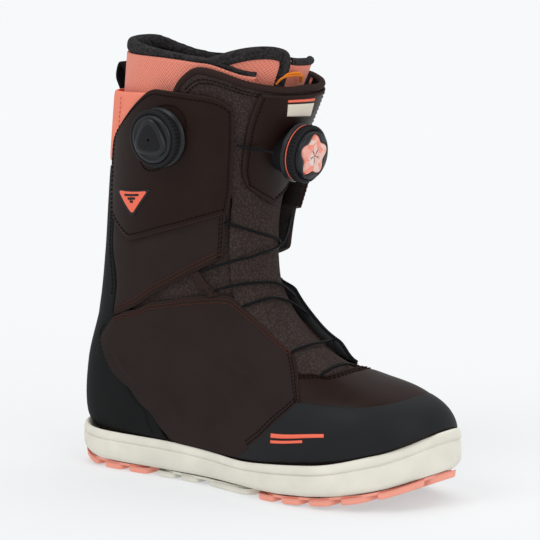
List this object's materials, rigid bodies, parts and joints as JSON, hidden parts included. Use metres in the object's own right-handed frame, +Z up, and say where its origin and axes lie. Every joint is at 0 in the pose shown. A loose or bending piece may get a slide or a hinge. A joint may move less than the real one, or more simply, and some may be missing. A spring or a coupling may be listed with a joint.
{
  "type": "snowboard boot",
  "caption": "Mid-height snowboard boot with two lacing dials, a hinged shaft, opening flaps and tongue, a removable liner and a treaded cup sole.",
  "frame": {"origin": "on the ground, under the middle of the sole, on the flat centre tread block", "axes": "+X from heel to toe, +Y towards the inner side of the foot, +Z up"},
  "size_m": [0.2938, 0.1282, 0.3003],
  "materials": {
    "satin_shell": "satin",
    "matte_shell": "matte",
    "mesh_textile": "matte",
    "black_textile": "matte",
    "black_rubber": "matte",
    "coral_trim": "satin",
    "coral_rubber": "matte",
    "cream_foam": "matte",
    "dial_plastic": "satin",
    "dial_grip": "matte",
    "clear_plastic": "gloss",
    "fleece": "matte",
    "foam": "matte",
    "board": "matte",
    "lace": "satin",
    "cream_badge": "matte"
  },
  "bodies": {
    "lower": {"midsole": "cream_foam", "heel_tread": "coral_rubber", "arch_tread": "cream_foam", "toe_tread": "coral_rubber", "lower_sleeve": "mesh_textile", "lasting_board": "board", "liner_foot": "fleece", "footbed": "foam", "quarter_outer": "matte_shell", "quarter_inner": "matte_shell", "vamp": "satin_shell", "toe_cap": "black_rubber", "heel_counter": "black_textile", "tongue_foot": "mesh_textile", "ankle_guide": "black_textile", "guide_track": "dial_plastic", "ankle_gusset": "mesh_textile", "liner_gusset": "fleece", "lace_ankle_high": "lace", "lace_ankle_mid": "lace", "lace_ankle_low": "lace", "lace_instep_high": "lace", "lace_instep_mid": "lace", "lace_instep_low": "lace"},
    "shaft": {"shaft_sleeve": "mesh_textile", "liner_shaft": "coral_trim", "liner_collar": "fleece", "shaft_panel_outer": "matte_shell", "shaft_panel_inner": "matte_shell", "backstay": "black_textile", "rear_collar": "coral_trim", "heel_loop": "black_textile", "liner_tongue": "coral_trim"},
    "outer_flap": {"flap_outer": "satin_shell", "flap_badge": "coral_trim", "shaft_dial_base": "dial_plastic"},
    "inner_flap": {"flap_inner": "satin_shell"},
    "tongue": {"tongue_shaft": "mesh_textile", "tongue_face": "satin_shell", "tongue_badge": "cream_badge", "tongue_dial_base": "dial_plastic", "tongue_dial_mount": "black_rubber", "lace_tongue_outer": "lace", "lace_tongue_inner": "lace"},
    "shaft_dial_reel": {"shaft_dial_spool": "dial_plastic"},
    "shaft_dial_knob": {"shaft_dial_knob": "dial_plastic", "shaft_dial_grip": "dial_grip", "shaft_dial_cap": "dial_plastic"},
    "tongue_dial_reel": {"tongue_dial_spool": "dial_plastic"},
    "tongue_dial_knob": {"tongue_dial_knob": "dial_plastic", "tongue_dial_grip": "dial_grip", "tongue_dial_cap": "clear_plastic"}
  },
  "joints": [
    {"name": "shaft_flex", "type": "hinge", "parent": "lower", "child": "shaft", "pos_m": [-0.092, 0, 0.114], "axis": [0, 1, 0], "range_deg": [0, 7], "stiffness_Nm_per_rad": 60, "deforming": ["ankle_gusset", "liner_gusset", "lace_ankle_high", "lace_ankle_mid", "lace_ankle_low"]},
    {"name": "outer_flap_open", "type": "hinge", "parent": "shaft", "child": "outer_flap", "pos_m": [-0.1, -0.0405, 0.2], "axis": [0, 0, -1], "range_deg": [0, 25]},
    {"name": "inner_flap_open", "type": "hinge", "parent": "shaft", "child": "inner_flap", "pos_m": [-0.1, 0.04, 0.2], "axis": [0, 0, 1], "range_deg": [0, 25]},
    {"name": "tongue_open", "type": "hinge", "parent": "shaft", "child": "tongue", "pos_m": [0, 0, 0.17], "axis": [0, 1, 0], "range_deg": [0, 15], "deforming": ["lace_tongue_outer", "lace_tongue_inner"]},
    {"name": "shaft_dial_turn", "type": "hinge", "parent": "outer_flap", "child": "shaft_dial_reel", "pos_m": [-0.04431, -0.05673, 0.23749], "axis": [0.0011, -0.9979, -0.0651], "continuous": true},
    {"name": "shaft_dial_pull", "type": "slide", "parent": "shaft_dial_reel", "child": "shaft_dial_knob", "axis": [0.0011, -0.9979, -0.0651], "range_m": [0, 0.003]},
    {"name": "tongue_dial_turn", "type": "hinge", "parent": "tongue", "child": "tongue_dial_reel", "pos_m": [0.02706, 0, 0.22714], "axis": [0.9924, 0, -0.123], "continuous": true},
    {"name": "tongue_dial_pull", "type": "slide", "parent": "tongue_dial_reel", "child": "tongue_dial_knob", "axis": [0.9924, 0, -0.123], "range_m": [0, 0.003]}
  ],
  "couplings": [
    {"joint": "inner_flap_open", "follows": "outer_flap_open", "ratio": 1},
    {"joint": "tongue_open", "follows": "outer_flap_open", "ratio": 0.6}
  ]
}
